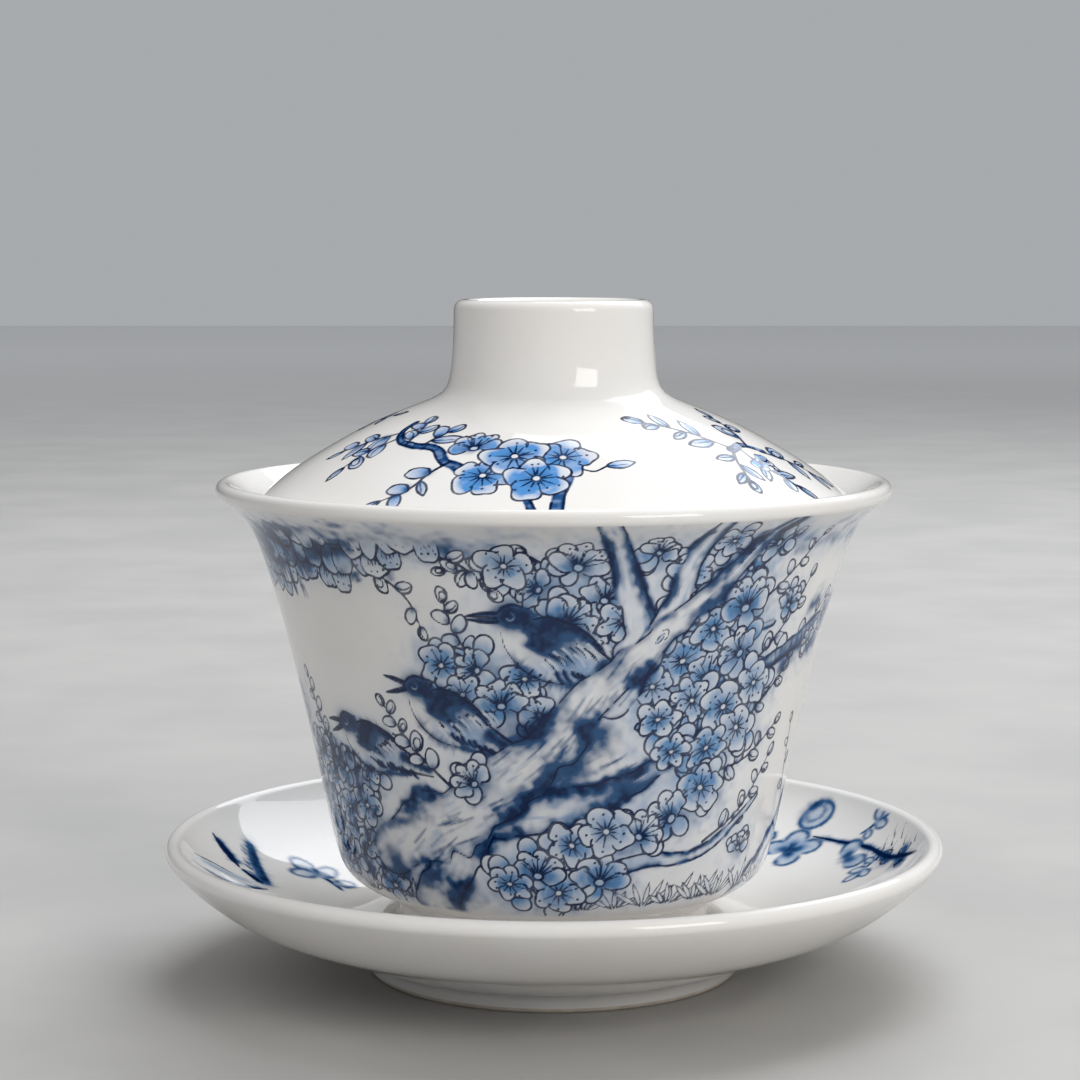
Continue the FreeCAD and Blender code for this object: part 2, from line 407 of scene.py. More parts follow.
class Brush:
    """Paints in a local frame, in millimetres times size: x to the right, y up, turned, maybe mirrored."""

    def __init__(self, canvas, u, v, turn=0.0, size=1.0, flip=1):
        self.canvas, self.u, self.v, self.turn, self.size, self.flip = canvas, u, v, turn, size, flip
        self.c, self.s = heading(turn)
        self.k = float(np.interp(v, canvas.v, canvas.k))

    def spot(self, x, y):
        across, up = self.flip * x * self.size, y * self.size
        return self.u + (self.c * across - self.s * up) / self.k, self.v + self.s * across + self.c * up

    def at(self, x, y, turn=0.0):
        """A brush at a local point, turned against this one."""
        return Brush(self.canvas, *self.spot(x, y), self.turn + self.flip * turn, self.size, self.flip)

    def near(self, x, y, reach):
        """The vertices about a local point, with their local coordinates."""
        u, v = self.spot(x, y)
        window = self.canvas.window(u, u, v, v, reach * self.size)
        if window is None:
            return None
        where, wu, wv, k = window
        dx, dy = (wu - u) * k, wv - v
        return (where, x + self.flip * (self.c * dx + self.s * dy) / self.size,
                y + (self.c * dy - self.s * dx) / self.size)

    def field(self, points, reach):
        path = through(points) if len(points) > 2 else points
        return self.canvas.field([self.spot(*p) for p in path], reach)

    def cover(self, where, mask, tone):
        """Lays an opaque patch of wash, and what was under it goes."""
        c = self.canvas
        c.wash[where] += (tone - c.wash[where]) * mask
        c.line[where] *= 1 - mask
        c.deep[where] *= 1 - mask

    def ink(self, where, amount):
        self.canvas.line[where] = np.maximum(self.canvas.line[where], amount)

    def add(self, layer, where, amount):
        values = getattr(self.canvas, layer)
        values[where] = 1 - (1 - values[where]) * (1 - np.clip(amount, 0, 1))

    def stroke(self, points, *widths):
        """A drawn line through the points. The widths, in real millimetres, are spread along it."""
        found = self.field(points, max(widths) / 2 + INK_EDGE)
        if found:
            where, distance, t, _, along = found
            width = np.interp(t, np.linspace(0, 1, len(widths)), widths)
            width *= 0.86 + 0.28 * grain(along / 1.3 + self.u, self.v)
            self.ink(where, np.clip(0.5 + (width / 2 - distance) / INK_EDGE, 0, 1))

    def smear(self, points, width, amount, layer="deep", tail=None, ragged=0.0):
        """A soft stroke that fades at both ends, tail being its width at the far end."""
        tail = width if tail is None else tail
        found = self.field(points, 2.2 * max(width, tail) * self.size)
        if found:
            where, distance, t, side, along = found
            size = (width + (tail - width) * t) * self.size
            rough = 1 + ragged * (grain(along * 2.2 + self.u, side * 0.4) - 0.5)
            self.add(layer, where, amount * np.exp(-(distance / size * rough) ** 2)
                     * ease(5 * t + 0.2) * ease(5 * (1 - t) + 0.2))

    def dot(self, x, y, radius):
        found = self.near(x, y, radius / self.size + 0.4)
        if found:
            where, lx, ly = found
            distance = np.hypot(lx - x, ly - y) * self.size - radius
            self.ink(where, np.clip(0.5 - distance / INK_EDGE, 0, 1))

    def blot(self, x, y, a, b, amount, turn=0.0, layer="deep", rough=0.5):
        """A soft oval."""
        found = self.near(x, y, 2.2 * max(a, b))
        if found:
            where, lx, ly = found
            c, s = heading(turn)
            dx, dy = lx - x, ly - y
            q = np.hypot((c * dx + s * dy) / a, (c * dy - s * dx) / b)
            q *= 1 + rough * (grain(dx * 0.9 + self.u, dy * 0.9 + self.v) - 0.5)
            self.add(layer, where, amount * np.exp(-q ** 2))

    def shape(self, x, y, reach, distance, tone=0.0, outline=0.35, gaps=0.0):
        """An opaque outlined shape. distance(x, y) is negative inside, and tone may be a function too."""
        found = self.near(x, y, reach + 0.6 / self.size)
        if found:
            where, lx, ly = found
            d = distance(lx, ly) * self.size
            self.cover(where, np.clip(0.5 - d / INK_EDGE, 0, 1), tone(lx, ly) if callable(tone) else tone)
            if outline:
                width = outline * (0.84 + 0.32 * grain(lx * 0.8 + self.u, ly * 0.8 + self.v))
                drawn = np.clip(0.5 + (width / 2 - np.abs(d)) / INK_EDGE, 0, 1)
                if gaps:
                    drawn *= ease((grain(lx * 0.7 - self.v, ly * 0.7 + self.u) - gaps) / 0.12)
                self.ink(where, drawn)

    def oval(self, x, y, a, b, tone=0.0, outline=0.35, turn=0.0):
        """An opaque outlined oval."""
        self.shape(x, y, 1.1 * max(a, b), lambda p, q: oval(p - x, q - y, a, b, turn), tone, outline)


class Region:
    """Part of a canvas. Its angles count from an angle of the piece, the other way round if flip is -1."""

    def __init__(self, canvas, degrees=0, flip=1):
        self.canvas, self.degrees, self.flip = canvas, degrees, flip

    def spot(self, degrees, level):
        return self.canvas.spot(self.degrees + self.flip * degrees, level)

    def on(self, degrees, level, turn=0.0, size=1.0, flip=1):
        """A brush at an angle, and at a height on the bowl or a radius on the others."""
        return Brush(self.canvas, *self.spot(degrees, level), turn, size, flip)

    def along(self, points):
        """A brush at the first of some (degrees, level) points, and all of them in its frame."""
        spots = [self.spot(*point) for point in points]
        b = Brush(self.canvas, *spots[0])
        return b, [((u - b.u) * b.k, v - b.v) for u, v in spots]


# ---- motifs ----


def petal(b, angle, radius, flat, tone, far=0.56, long=0.45, broad=0.42, outline=0.35):
    """One petal of a blossom about the local origin, seen flattened in y."""
    c, s = heading(angle)
    x, y = far * radius * c, far * radius * s * flat
    a, wide = long * radius * math.hypot(c, s * flat), broad * radius * math.hypot(s, c * flat)
    lean = math.degrees(math.atan2(s * flat, c))
    phase, lobes = uniform(0, math.tau), RANDOM.integers(2, 5)
    side = uniform(0, math.tau)

    def edge(lx, ly):
        wobble = 0.045 * radius * np.sin(lobes * np.arctan2(ly - y, lx - x) + phase)
        return oval(lx - x, ly - y, a, wide, lean) + wobble

    def shade(lx, ly):
        out = np.hypot(lx, ly / flat) / radius
        lit = (np.cos(side) * (lx - x) + np.sin(side) * (ly - y)) / radius
        uneven = 0.45 + 1.1 * ease((grain(lx * 0.5 + 1.7 * b.u, ly * 0.5 + 1.7 * b.v) - 0.25) / 0.5)
        pooled = tone[1] * ease((1.02 - out) / tone[2]) * (1 + 0.9 * lit) * uneven
        return np.clip(tone[0] + pooled, 0, 1)

    b.shape(x, y, max(a, wide) * 1.1, edge, shade, outline)


def stamens(b, radius, flat, first, last, count, outline, length=(0.40, 0.62)):
    """Short hairs fanned out from the heart, most with a dot beyond the tip."""
    start = 0.20 * radius
    for n in range(count):
        c, s = heading(first + (last - first) * (n + 0.5) / count + uniform(-7, 7))
        s *= flat
        reach = uniform(*length) * radius
        b.stroke([(start * c, start * s), (reach * c, reach * s)], outline, outline * 0.7)
        if n % 4 != 3:
            tip = reach + uniform(0.10, 0.20) * radius
            b.dot(tip * c, tip * s, outline * 0.78)


def merge(b, y, size, radius, flat, tone):
    """Washes out the petal lines about a point, so that the petals run together there."""
    found = b.near(0, y, 1.3 * size)
    if found:
        where, lx, ly = found
        pooled = ease((1.02 - np.hypot(lx, ly / flat) / radius) / tone[2])
        uneven = 0.75 + 0.5 * grain(lx + b.u, ly + b.v)
        inside = ease((size - np.hypot(lx, (ly - y) / flat)) / (0.45 / b.size))
        b.cover(where, inside, np.clip(tone[0] + tone[1] * pooled * uneven, 0, 1))


def blossom(b, radius, flat, tone, outline=0.35, petals=5):
    """A blossom seen from the front."""
    start = uniform(0, 72)
    for n in range(petals):
        angle = start + 360 * n / petals + uniform(-8, 8)
        petal(b, angle, radius * uniform(0.93, 1.06), flat, tone, broad=0.43 * 5 / petals, outline=outline)
    merge(b, 0, 0.58 * radius, radius, flat, tone)
    fan = uniform(0, 360)
    stamens(b, radius, flat, fan, fan + 330, int(6 + radius * 1.2), outline * 0.82)
    heart = 0.13 * radius
    b.blot(0, 0, 2.2 * heart, 2.2 * heart * flat, 0.5, rough=0.3)
    b.oval(0, 0, heart, heart * flat, tone[0], outline * 0.8)


def half_blossom(b, radius, tone, outline=0.35):
    """A blossom seen from the side, opening along y."""
    for angle, far, long in ((90, 0.62, 0.42), (48, 0.58, 0.44), (132, 0.58, 0.44), (12, 0.52, 0.40),
                             (168, 0.52, 0.40)):
        petal(b, angle, radius, 0.9, tone, far, long, 0.34, outline)
    merge(b, 0.20 * radius, 0.46 * radius, radius, 0.9, tone)
    b.blot(0, 0.08 * radius, 0.34 * radius, 0.24 * radius, 0.75)
    stamens(b, radius, 1.0, 22, 158, int(5 + radius * 0.9), outline * 0.82, length=(0.48, 0.80))
    b.oval(0, 0, 0.16 * radius, 0.13 * radius, 0.5, outline)


def bud(b, size, tone, outline):
    """A closed bud or leaf bud that grows along y from the local origin, of one of three kinds."""
    kind = RANDOM.integers(3)
    long, broad = 1.15 * size, 0.78 * size

    def edge(x, y):
        return oval(x, y - long, broad, long) + 0.05 * size * np.sin(4 * x)

    def shade(x, y):
        return np.clip(tone * (1.5 - 1.1 * y / (2 * long)) + 0.1 * tone * (x > 0), 0, 1)

    b.shape(0, long, long, edge, shade, outline)
    if kind == 0:
        seam = [(0, 0.1 * size), (0.28 * size, long), (0.05 * size, 1.75 * long)]
        b.stroke(seam, outline * 0.9, outline * 0.6)
    elif kind == 1:
        inner = 0.62 * size
        b.oval(0.12 * size, 0.8 * long, inner * 0.7, inner, tone * 0.4, outline * 0.8)
    b.blot(0, 0.25 * size, 0.5 * size, 0.4 * size, 0.55)


def pointed_leaf(b, length, width, tone, outline, vein=True):
    """A pointed leaf that grows along y."""

    def shade(x, y):
        return np.clip(tone * (1.25 - y / length) + 0.25 * tone * (x > 0), 0, 1)

    b.shape(0, length / 2, length * 0.56, lambda x, y: leaf(y, x, length, width), shade, outline)
    if vein:
        b.stroke([(0, 0), (0.04 * length, 0.75 * length)], outline * 0.8, outline * 0.5)


def partway(points, share):
    """A point a share of the way along a path, and the direction there in degrees."""
    path = through(points)
    lengths = np.concatenate([[0], np.cumsum(np.hypot(*np.diff(path, axis=0).T))])
    at = share * lengths[-1]
    n = min(np.searchsorted(lengths, at, side="right"), len(path) - 1)
    x, y = (np.interp(at, lengths, path[:, i]) for i in (0, 1))
    dx, dy = path[n] - path[n - 1]
    return x, y, math.degrees(math.atan2(dy, dx))


def twigs(region, *runs, tone=0.16, outline=0.35, width=0.5, leaves=0.0):
    """Thin twigs with buds on both sides and one at the tip.

    Each run is a number of buds, their size and the twig's points. leaves is the share of buds in leaf.
    """
    first, last = 0.22, 0.97         # where along a twig the buds begin and end
    for buds, size, *points in runs:
        b, path = region.along(points)
        b.stroke(path, width, width * 0.8, outline * 0.8)
        side = 1 if RANDOM.random() < 0.5 else -1
        for n in range(buds):
            share = first + (last - first) * (n + 0.3 * RANDOM.random()) / (buds - 1)
            x, y, angle = partway(path, min(share, 1.0))
            side = -side
            lean = side * uniform(38, 62) if n < buds - 1 else 0
            grow = size * uniform(0.82, 1.15) * (1 - 0.3 * share)
            base = b.at(x, y, angle - 90 + lean)
            if RANDOM.random() < leaves:
                pointed_leaf(base, 3.0 * grow, 1.15 * grow, tone, outline)
            else:
                bud(base, grow, tone, outline)


def bough(region, widths, *points, core=0.14, dark=0.75, soft=0.5, outline=0.35, streak=0.5, knots=0.25,
          fill=0.0):
    """A branch with soft dark sides and a broken outline. core, streak and fill colour its middle."""
    b, path = region.along(points)
    where, distance, t, side, along = b.field(path, max(widths) * 0.75 + 2.2 * soft)
    half = np.interp(t, np.linspace(0, 1, len(widths)), widths) / 2
    half = half * (1 + knots * 2 * (grain(along / 2.6 + b.u, np.sign(side) * 3.3 + b.v) - 0.5))
    inner = half - distance
    inside = np.clip(0.5 + inner / INK_EDGE, 0, 1)
    b.cover(where, inside, core)
    fibres = grain(along * 0.9 + b.v, side * 1.1 + b.u)
    patches = ease((grain(along * 0.22 + b.u, np.sign(side) * 2.6 + b.v) - 0.15) / 0.6)
    reach = soft * (0.45 + 0.75 * patches + 0.5 * (fibres - 0.5))
    shade = np.where(inner > 0, np.exp(-(inner / reach) ** 2), np.exp(-(inner / (0.45 * reach)) ** 2))
    b.add("deep", where, dark * shade * (0.35 + 0.65 * patches) * (0.65 + 0.7 * fibres))
    b.add("wash", where, streak * inside * ease((grain(along * 0.3 + b.v, side * 1.6 + b.u) - 0.5) / 0.4))
    b.add("deep", where, fill * inside * (0.4 + 1.2 * grain(along * 1.6 + b.v, side * 0.6 + b.u)))
    broken = ease((grain(along / 1.9 - b.v, np.sign(side) + 0 * along) - 0.18) / 0.2)
    b.ink(where, broken * np.clip(0.5 + (outline / 2 - np.abs(inner)) / INK_EDGE, 0, 1))


def grass(region, *places):
    """Tufts of narrow blades at some angles, each fanned out from one root."""
    for degrees in places:
        b = region.on(degrees + uniform(-2, 2), GRASS_LEVEL)
        count = int(RANDOM.integers(4, 8))
        b.blot(0, 0.6, 1.6, 0.8, 0.35, layer="wash")
        for n in RANDOM.permutation(count):
            place = n - (count - 1) / 2
            lean = place * 120 / count + uniform(-10, 10)
            blade = b.at(place * 0.42, uniform(-0.2, 0.3), -lean)
            pointed_leaf(blade, 4.6 * uniform(0.6, 1.15), 0.72, 0.12, 0.22, vein=False)


def scrape(b, points, width, tone=0.06):
    """A pale line lifted out of what is already painted."""
    where, distance, t, _, _ = b.field(points, width / 2 + INK_EDGE)
    b.cover(where, 0.9 * np.clip(0.5 + (width / 2 * (1 - 0.6 * t) - distance) / INK_EDGE, 0, 1), tone)


def bird(b, gape):
    """A song bird that faces left, dark headed, with a white collar and a barred wing.

    The middle of its head is the local origin, and gape is how far its beak is open, from 0 to 1.
    """
    bird_body(b)
    bird_wing(b)
    bird_head(b)
    for side in (1, -1):  # the two halves of the beak
        c, s = heading(2 + side * 20 * gape)
        tip = (-2.0 - 4.0 * c, 0.1 + 4.0 * s)
        base = (-1.9, 0.1 + side * 0.6)
        middle = ((base[0] + tip[0]) / 2, (base[1] + tip[1]) / 2 + side * 0.22)
        b.stroke([base, middle, tip], 0.55, 0.45, 0.25)
        inner = ((tip[0] - 1.9) / 2, (0.1 + tip[1]) / 2 + side * 0.04)
        b.stroke([(-1.9, 0.1 + side * 0.1), inner, tip], 0.25, 0.3, 0.25)
        b.smear([base, tip], 0.4, 0.8, tail=0.15)


def bird_body(b):
    b.oval(6.6, -5.4, 6.6, 4.0, 0.05, outline=0, turn=-33)
    b.oval(1.7, -3.2, 4.0, 3.0, outline=0, turn=-62)
    b.smear([(-0.9, -4.4), (0.6, -7.0), (3.6, -9.0), (8.0, -9.8)], 0.6, 0.5, ragged=1.2)
    b.stroke([(-1.7, -1.9), (-1.3, -4.2), (0.4, -6.9), (3.0, -8.7), (6.5, -9.6)], 0.16, 0.3, 0.3, 0.16)
    b.smear([(4.4, -5.6), (7.6, -7.2), (11.0, -8.8)], 2.2, 0.6, layer="wash")
    b.smear([(1.6, -6.4), (4.0, -8.0)], 0.9, 0.25, layer="wash")


def bird_wing(b):
    """The folded wing and the tail."""
    for x, y, long, width, dark in ((1.7, -4.7, 5.4, 1.15, 1.0), (2.9, -5.6, 6.0, 1.25, 0.95),
                                    (4.4, -6.4, 6.2, 1.2, 0.6), (6.2, -7.2, 6.0, 1.1, 0.38)):
        feather = [(x, y), (x + 0.30 * long, y + 0.50 * long), (x + 0.72 * long, y + 0.70 * long)]
        b.smear(feather, width, dark, ragged=0.8)
    b.smear([(2.7, -0.7), (5.2, -0.9), (8.8, -3.0), (11.6, -6.0)], 0.7, 1.0, tail=0.5, ragged=0.5)
    b.stroke([(2.5, -0.4), (5.2, -0.35), (8.8, -2.4), (11.2, -5.0)], 0.25, 0.5, 0.5, 0.3)
    for n in range(26):  # streaks down the wing
        x, y = 3.0 + 0.36 * n + uniform(-0.3, 0.3), -6.3 + 0.10 * n + uniform(-0.7, 0.9)
        streak = [(x, y), (x + 0.75, y - 0.75), (x + 1.3, y - 1.8)]
        if n % 3:
            b.stroke(streak, 0.34, 0.24, 0.12)
        else:
            scrape(b, streak, 0.42)
    for n in range(9):  # bars across it
        x, y = 5.2 + 0.84 * n + uniform(-0.3, 0.3), -7.3 - 0.30 * n + uniform(-0.3, 0.3)
        long = uniform(0.7, 1.2)
        b.smear([(x, y), (x + 0.4, y - 0.9 * long), (x + 1.1, y - 1.6 * long)], 0.42, 0.95, tail=0.2)
        b.stroke([(x, y), (x + 0.3, y - 0.9 * long), (x + 1.0, y - 1.6 * long)], 0.36, 0.26, 0.12)
    b.smear([(6.0, -9.3), (9.0, -10.2), (12.0, -10.6)], 0.5, 0.8, ragged=0.8)
    x, y = 16.5, -11.0  # end of the tail
    b.smear([(10.4, -6.6), (13.2, -8.8), (x, y)], 1.2, 0.95, tail=0.7, ragged=0.6)
    b.stroke([(9.0, -9.3), (12.0, -10.3), (x - 0.4, y - 0.7)], 0.35, 0.55, 0.3)
    b.stroke([(10.6, -5.2), (13.4, -7.6), (x + 0.4, y + 0.8)], 0.3, 0.5, 0.3)


def bird_head(b):
    b.oval(0.1, 0.0, 2.4, 1.85, 0.1, outline=0, turn=-8)
    b.blot(0.1, 0.0, 2.1, 1.6, 1.0, -8, rough=0.2)
    b.blot(-0.3, 0.2, 1.8, 1.4, 1.0, rough=0.1)
    b.blot(1.5, -0.5, 2.0, 1.3, 0.75, -24, rough=0.6)
    for n in range(9):  # the nape breaks up into hairs
        y = 1.3 - 0.36 * n
        b.smear([(1.0, y), (2.2, y - 0.35), (3.0 + uniform(-0.3, 0.5), y - 0.9)], 0.26, 0.6, tail=0.12)
    b.stroke([(-1.9, 0.6), (-1.0, 1.45), (0.3, 1.75), (1.6, 1.3)], 0.3, 0.6, 0.25)
    b.blot(-0.3, 0.1, 1.0, 0.85, 1.0, rough=0.0)
    eye = [(-0.25 + 0.52 * math.cos(a), 0.15 + 0.52 * math.sin(a)) for a in np.linspace(-2.6, 1.1, 7)]
    scrape(b, eye, 0.24, 0.1)


def heap(region, radius, *spots, side=0.3):
    """Blossoms crowded together: loose petals first, then the blossoms over them, in a shuffled order.

    side is the share of blossoms that are seen from the side.
    """
    rim, base, fade = BOWL_TONE
    brushes = [region.on(*spot) for spot in spots]
    for b in brushes:
        b.blot(0, 0, 1.15 * radius, 1.0 * radius, 0.4, layer="wash", rough=1.0)
        b.blot(0.3 * radius, -0.4 * radius, 0.7 * radius, 0.5 * radius, 0.35, rough=1.0)
        for _ in range(3):
            angle = uniform(0, 360)
            c, s = heading(angle)
            far, wide = radius * uniform(0.72, 0.98), radius * uniform(0.38, 0.48)
            full = base * uniform(0.3, 0.9)
            b.oval(far * c, far * s, wide, wide * 0.85, turn=angle,
                   tone=lambda x, y: np.clip(rim + full * ease((1.25 - np.hypot(x, y) / radius) / 0.6), 0, 1))
    for n in RANDOM.permutation(len(brushes)):
        b, size = brushes[n], radius * uniform(0.85, 1.15)
        tone = rim, base * uniform(0.45, 1.15), fade
        if RANDOM.random() < side:
            half_blossom(b.at(0, -0.3 * size, uniform(-70, 70)), size * 1.1, tone)
        else:
            petals = 5 if RANDOM.random() < 0.7 else 6
            blossom(b.at(0, 0, uniform(-40, 40)), size, uniform(0.72, 0.95), tone, petals=petals)


# ---- the bowl's painting ----

BOWL_TONE = (0.12, 0.95, 0.83)   # wash at a petal's rim, added at its base, share of the radius it fades over
BOWL_BLEED = 0.29                # how much of the cobalt runs into a haze about the painting
GRASS_LEVEL = 16.4               # height that the grass grows from


def smudges(region):
    """Blurred cobalt under the lip, thicker over each spray."""
    for degrees in np.arange(-180, 180, 1.6):
        thick = ease((grain(degrees / 26.0 + 40, 3.0) - 0.2) / 0.6)
        b = region.on(degrees + uniform(-1, 1), uniform(68.8, 73.0))
        if RANDOM.random() < 0.25 + 0.7 * thick:
            b.blot(0, 0, uniform(0.8, 2.4), uniform(0.5, 1.1), uniform(0.2, 0.7) * thick, uniform(-30, 30),
                   rough=1.2)
        b.blot(0, 0, 4.0, 1.8, 0.16 * thick, layer="wash", rough=1.0)


def brush_hairs(region, degrees, height, turn, count, below, longest):
    """Hairs of the brush about a shaded hollow, down to some way below it."""
    for _ in range(count):
        b = region.on(degrees + uniform(-4, 4), height + uniform(-below, 2.0), turn + uniform(-9, 9))
        long = uniform(2.0, longest)
        b.smear([(0, 0), (0.5 * long, 0.06 * long), (long, 0.16 * long)], uniform(0.2, 0.5),
                uniform(0.15, 0.5), tail=0.12, ragged=0.6)


def bowl_front(region):
    twigs(region, (9, 1.45, (1, 67), (-6, 69.5), (-13, 67.5), (-20, 67)),
          (7, 1.45, (-14, 52), (-17.5, 55.5), (-20, 59), (-21, 62.5)),
          (5, 1.4, (32, 64), (41, 67), (46, 71)), (8, 1.4, (30, 58), (42, 61), (51, 66), (56, 70.5)),
          (8, 1.4, (34, 49), (46, 53), (54, 59), (58, 64.5)), (6, 1.35, (46, 52), (58, 54), (70, 60)),
          (7, 1.35, (34, 41), (46, 44), (56, 50)), (6, 1.35, (36, 36), (48, 37.5), (58, 42)),
          (7, 1.35, (38, 25.5), (50, 30), (58, 37)), (8, 1.3, (-58, 34), (-64, 41), (-67, 48)))
    grass(region, -54, -46, -39, 8, 15, 22, 31, 38, 46, 55, 64)
    bough(region, (1.4, 1.2, 1.8, 2.6, 1.4, 0.5), (18, 44), (34, 48.5), (50, 52), (66, 56), (78, 59),
          (90, 60), dark=1.0, fill=0.4)
    for degrees, height in ((56, 51), (62, 53.5), (68, 53), (72, 58), (64, 59.5)):
        region.on(degrees, height, 20).blot(0, 0, 2.4, 1.1, 0.7, rough=1.0)
    bough(region, (2.4, 1.6, 1.0), (20, 50), (34, 55), (48, 58), soft=0.4)
    heap(region, 3.8, (-3, 65.5), (4, 69), (9, 64), (2, 61), (13, 60), (-9, 68), (6, 57))
    heap(region, 3.5, (18, 70.5), (25, 67), (32, 71), (38, 67.5), (31, 63), (43, 71))
    heap(region, 4.1, (20, 56), (26, 61), (26, 53.5), (32, 58), (33, 51.5), (39, 62), (40, 55), (20, 50))
    heap(region, 3.6, (-23, 53), (-15.5, 53.5), (-19, 48.8), (-11, 48.5), (-6, 51.5), (-3, 46))
    heap(region, 3.2, (-50, 30), (-56, 36), (-58, 29), (-64, 33), (-52, 24), (-60, 22), (-69, 26), (-67, 38),
         (-46, 36), (-74, 32), (-66, 20), (-45, 19))
    for _ in range(80):  # shade between the blossoms at the left
        b = region.on(uniform(-76, -47), uniform(18, 38), uniform(40, 110))
        b.smear([(0, 0), (1.4, 0.3), (2.8, 0.0)], 0.55, uniform(0.3, 0.9), ragged=0.8)
    bough(region, (2.6, 2.2, 1.6, 0.8), (2, 20), (20, 23.5), (38, 24), (56, 31))
    bird(region.on(-8, 60.5, 4, 1.12), gape=0.15)
    bird(region.on(-29.5, 49.5, 2, 0.95), gape=1.0)
    bird(region.on(-52, 42.5, 14, 0.88), gape=0.8)
    trunk(region)
    heap(region, 4.1, (22, 45), (29.5, 47.5), (38, 46), (26, 40), (35, 40), (43, 42.5), (46, 49), side=0.25)
    heap(region, 3.9, (-4, 23), (4, 26.5), (12, 28.5), (20, 28.5), (28, 31), (11, 22), (1, 19.2), (-11, 20.5),
         (35, 34), side=0.5)
    heap(region, 3.4, (-18, 36.5), side=1.0)
    heap(region, 2.6, (52, 61), (66, 54), (73, 58), side=0.8)
    heap(region, 2.4, (52, 24), side=1.0)
    twigs(region, (8, 1.4, (-24, 35), (-32, 40), (-39, 46.5)))
    hanging_spray(region.canvas, -70, 1)


def trunk(region):
    """The leaning trunk and its limbs, with pools of cobalt, hairs of the brush and a knot."""
    limb = dict(core=0.10, dark=1.0, soft=0.9)
    root = dict(core=0.02, dark=1.0, soft=1.8, streak=0.2)
    stem = dict(core=0.02, dark=1.0, soft=1.7, streak=0.3, outline=0.28)
    bough(region, (5.4, 4.6, 3.8, 3.2), (12, 50), (16, 58), (13, 66), (8, 74), **limb)
    bough(region, (5.4, 4.2, 3.4, 2.6), (12, 48), (21, 58), (24, 66), (28, 74), **limb)
    bough(region, (7.0, 5.4, 3.6, 1.6), (-14, 31), (4, 32.5), (18, 36), (32, 42),
          core=0.03, dark=1.0, soft=1.3)
    bough(region, (6.5, 7.0, 5.0), (-33, 16.5), (-25, 23), (-16, 31), **root)
    bough(region, (8.0, 10.5, 9.8, 8.5, 6.6, 5.0, 3.8, 3.0, 2.0), (-43, 24), (-30, 28), (-14, 34), (0, 42),
          (8, 49), (16, 54), (25, 60), (34, 66), (43, 74), **stem)
    for degrees, height, a, b, dark, turn in (
            (-6, 43.5, 4.2, 2.0, 0.8, 25), (3, 37.5, 3.6, 2.2, 0.75, 40), (9, 43, 2.2, 2.8, 0.7, 60),
            (12, 53, 1.4, 3.0, 0.4, -20), (-32, 20.5, 2.4, 1.6, 0.9, 30), (16, 35, 3.2, 1.3, 0.7, 15),
            (-24, 18.5, 2.6, 1.6, 0.6, 10), (-42, 21.8, 1.6, 3.4, 0.7, 35), (-38, 28.6, 3.4, 0.9, 0.6, 15)):
        region.on(degrees, height).blot(0, 0, a, b, dark, turn, rough=0.7)
    for *hollow, count in ((-10, 38.5, 30, 9), (-2, 41, 38, 9), (5, 46, 48, 6), (-26, 28, 18, 9),
                           (10, 38, 20, 7), (-33, 24, 30, 9), (-16, 30.5, 24, 7), (13, 50, 50, 5)):
        brush_hairs(region, *hollow, count, below=3.0, longest=5.5)
    b = region.on(20.5, 57, 52)
    b.shape(0, 0, 1.9, lambda x, y: oval(x, y, 1.8, 0.75) + 0.06 * np.sin(5 * x), 0.05, 0.26, gaps=0.2)
    b.oval(0.1, 0, 0.95, 0.3, 0.5, 0.24)


def scallop(b, tone):
    """A petal that hangs down over the one below, dark at the top, some with hairs and dots."""
    wide, long = uniform(1.4, 2.5), uniform(1.8, 2.8)
    lean = uniform(-16, 16)

    def edge(x, y):
        return oval(x, y, wide, long, lean) + 0.10 * np.sin(3 * x + tone * 40)

    def shade(x, y):
        return np.clip(tone * (0.75 + 0.5 * grain(x + b.u, y + b.v)) + 0.3 * y / long, 0, 1)

    b.shape(0, 0, long, edge, shade, 0.38)
    b.smear([(-wide, 1.4), (0, 1.9), (wide, 1.4)], 0.7, 0.6, ragged=0.8)
    if RANDOM.random() < 0.45:
        for n in range(6):
            x = -1.2 + 0.46 * n
            b.stroke([(0.4 * x, 1.9), (x, uniform(-0.6, 0.5))], 0.34, 0.2)
            if n % 2:
                b.dot(1.15 * x, uniform(-1.5, -0.7), uniform(0.16, 0.26))


